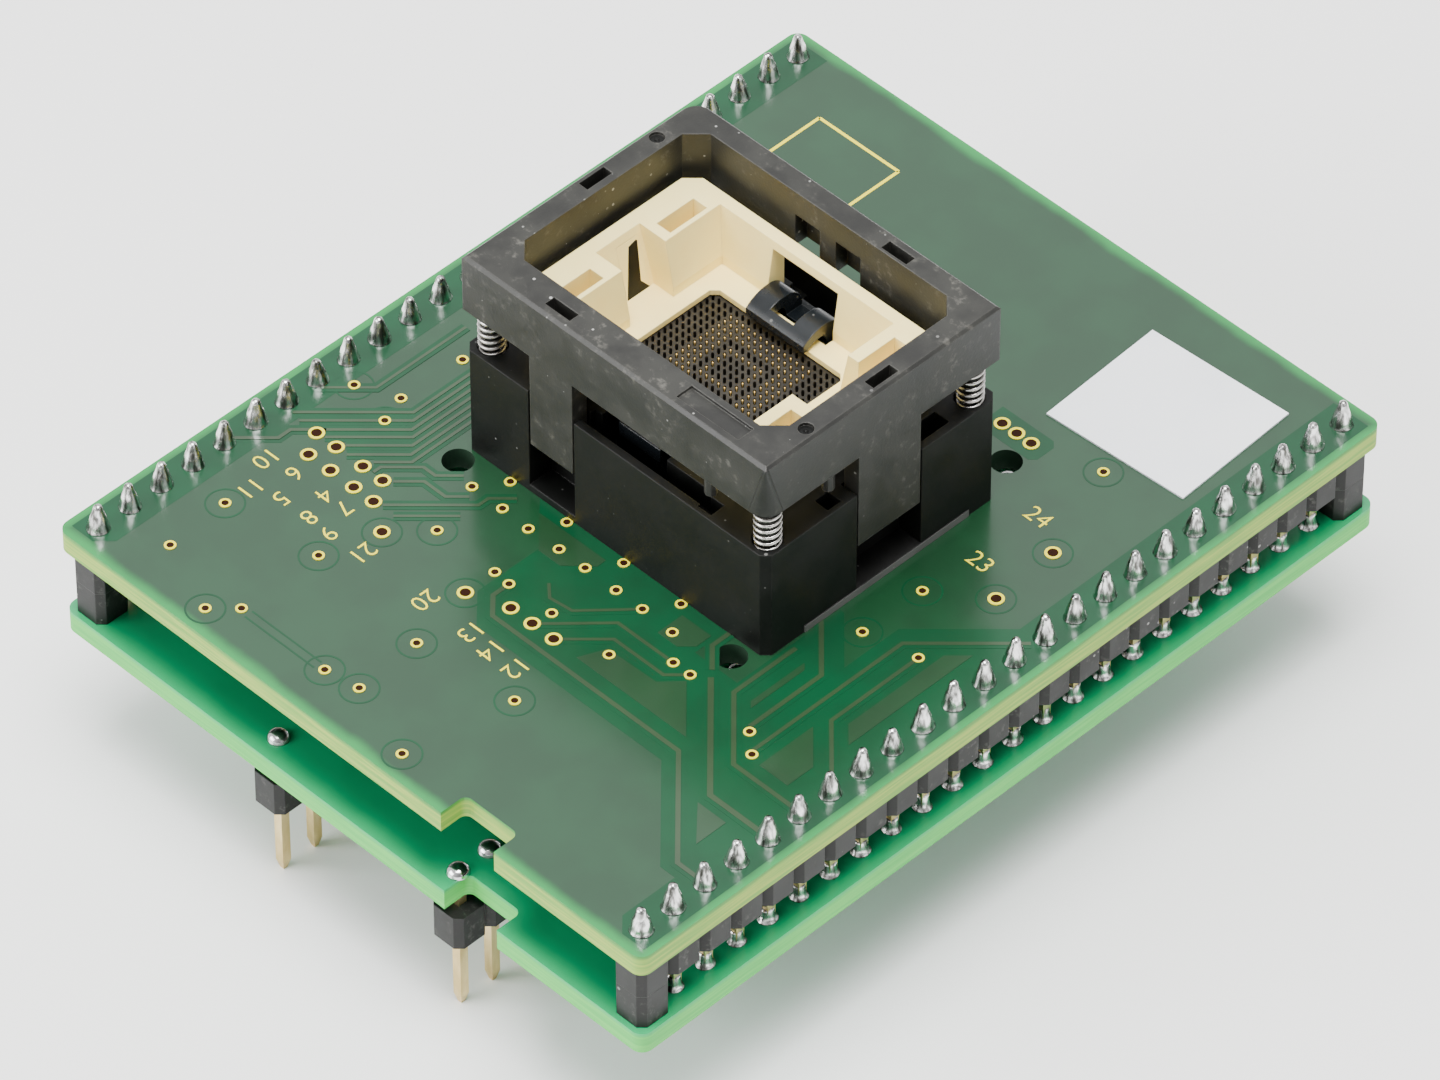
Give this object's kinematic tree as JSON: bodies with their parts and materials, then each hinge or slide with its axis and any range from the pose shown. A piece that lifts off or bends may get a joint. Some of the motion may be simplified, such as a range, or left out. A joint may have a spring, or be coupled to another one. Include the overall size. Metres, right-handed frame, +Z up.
{
  "type": "zif socket adapter",
  "caption": "Stacked circuit boards on long pin rows, with an open-top socket whose sprung cover opens latches and contacts for a ball-grid package.",
  "frame": {"origin": "under the middle of the pin field, at the tips of the long pins", "axes": "+Z up out of the socket, +Y along the boards away from the notched edge, +X across the boards"},
  "size_m": [0.0492, 0.062, 0.0331],
  "materials": {
    "circuit_board_green": "semi-gloss solder mask over glass laminate",
    "paper_white": "matt paper",
    "header_black": "satin moulded",
    "pin_gold": "thin gold plate",
    "solder_bright": "bright solder",
    "base_black": "satin moulded",
    "plate_grey": "satin",
    "block_dark": "satin",
    "slider_grey": "satin",
    "contact_gold": "gold plate",
    "nest_beige": "satin filled resin",
    "latch_dark": "polished moulded",
    "spring_steel": "bright drawn wire",
    "cover_grey": "fine moulded grain"
  },
  "bodies": {
    "boards": {"top_board": "circuit_board_green", "lower_board": "circuit_board_green", "blank_label": "paper_white", "link_strip_left": "header_black", "link_strip_right": "header_black", "dil_strip_left": "header_black", "dil_strip_right": "header_black", "corner_spacers": "header_black", "link_pins_left": "pin_gold", "link_pins_right": "pin_gold", "dil_pins_left": "pin_gold", "dil_pins_right": "pin_gold", "link_solder": "solder_bright", "dil_solder": "solder_bright", "socket_base": "base_black", "base_plate": "plate_grey", "contact_block": "block_dark", "contact_pins": "contact_gold", "package_nest": "nest_beige", "latch_pivot_pins": "spring_steel"},
    "cover": {"socket_cover": "cover_grey", "cover_springs": "spring_steel"},
    "latch_n": {"latch_north": "latch_dark"},
    "latch_s": {"latch_south": "latch_dark"},
    "slider": {"contact_slider": "slider_grey"}
  },
  "joints": [
    {"name": "cover_press", "type": "slide", "parent": "boards", "child": "cover", "axis": [0, 0, -1], "range_m": [0, 0.0026], "stiffness_N_per_m": 4000, "springref_m": -0.0015, "deforming": ["cover_springs"]},
    {"name": "latch_north_swing", "type": "hinge", "parent": "boards", "child": "latch_n", "pos_m": [0, 0.007, 0.02222], "axis": [1, 0, 0], "range_deg": [-28, 0]},
    {"name": "latch_south_swing", "type": "hinge", "parent": "boards", "child": "latch_s", "pos_m": [0, -0.0057, 0.02222], "axis": [1, 0, 0], "range_deg": [0, 28]},
    {"name": "contact_shift", "type": "slide", "parent": "boards", "child": "slider", "axis": [-0.7071, 0.7071, 0], "range_m": [0, 0.0002]}
  ],
  "couplings": [
    {"joint": "latch_north_swing", "follows": "cover_press", "rad_per_m": -187.9},
    {"joint": "latch_south_swing", "follows": "cover_press", "rad_per_m": 187.9},
    {"joint": "contact_shift", "follows": "cover_press", "ratio": 0.0769}
  ]
}
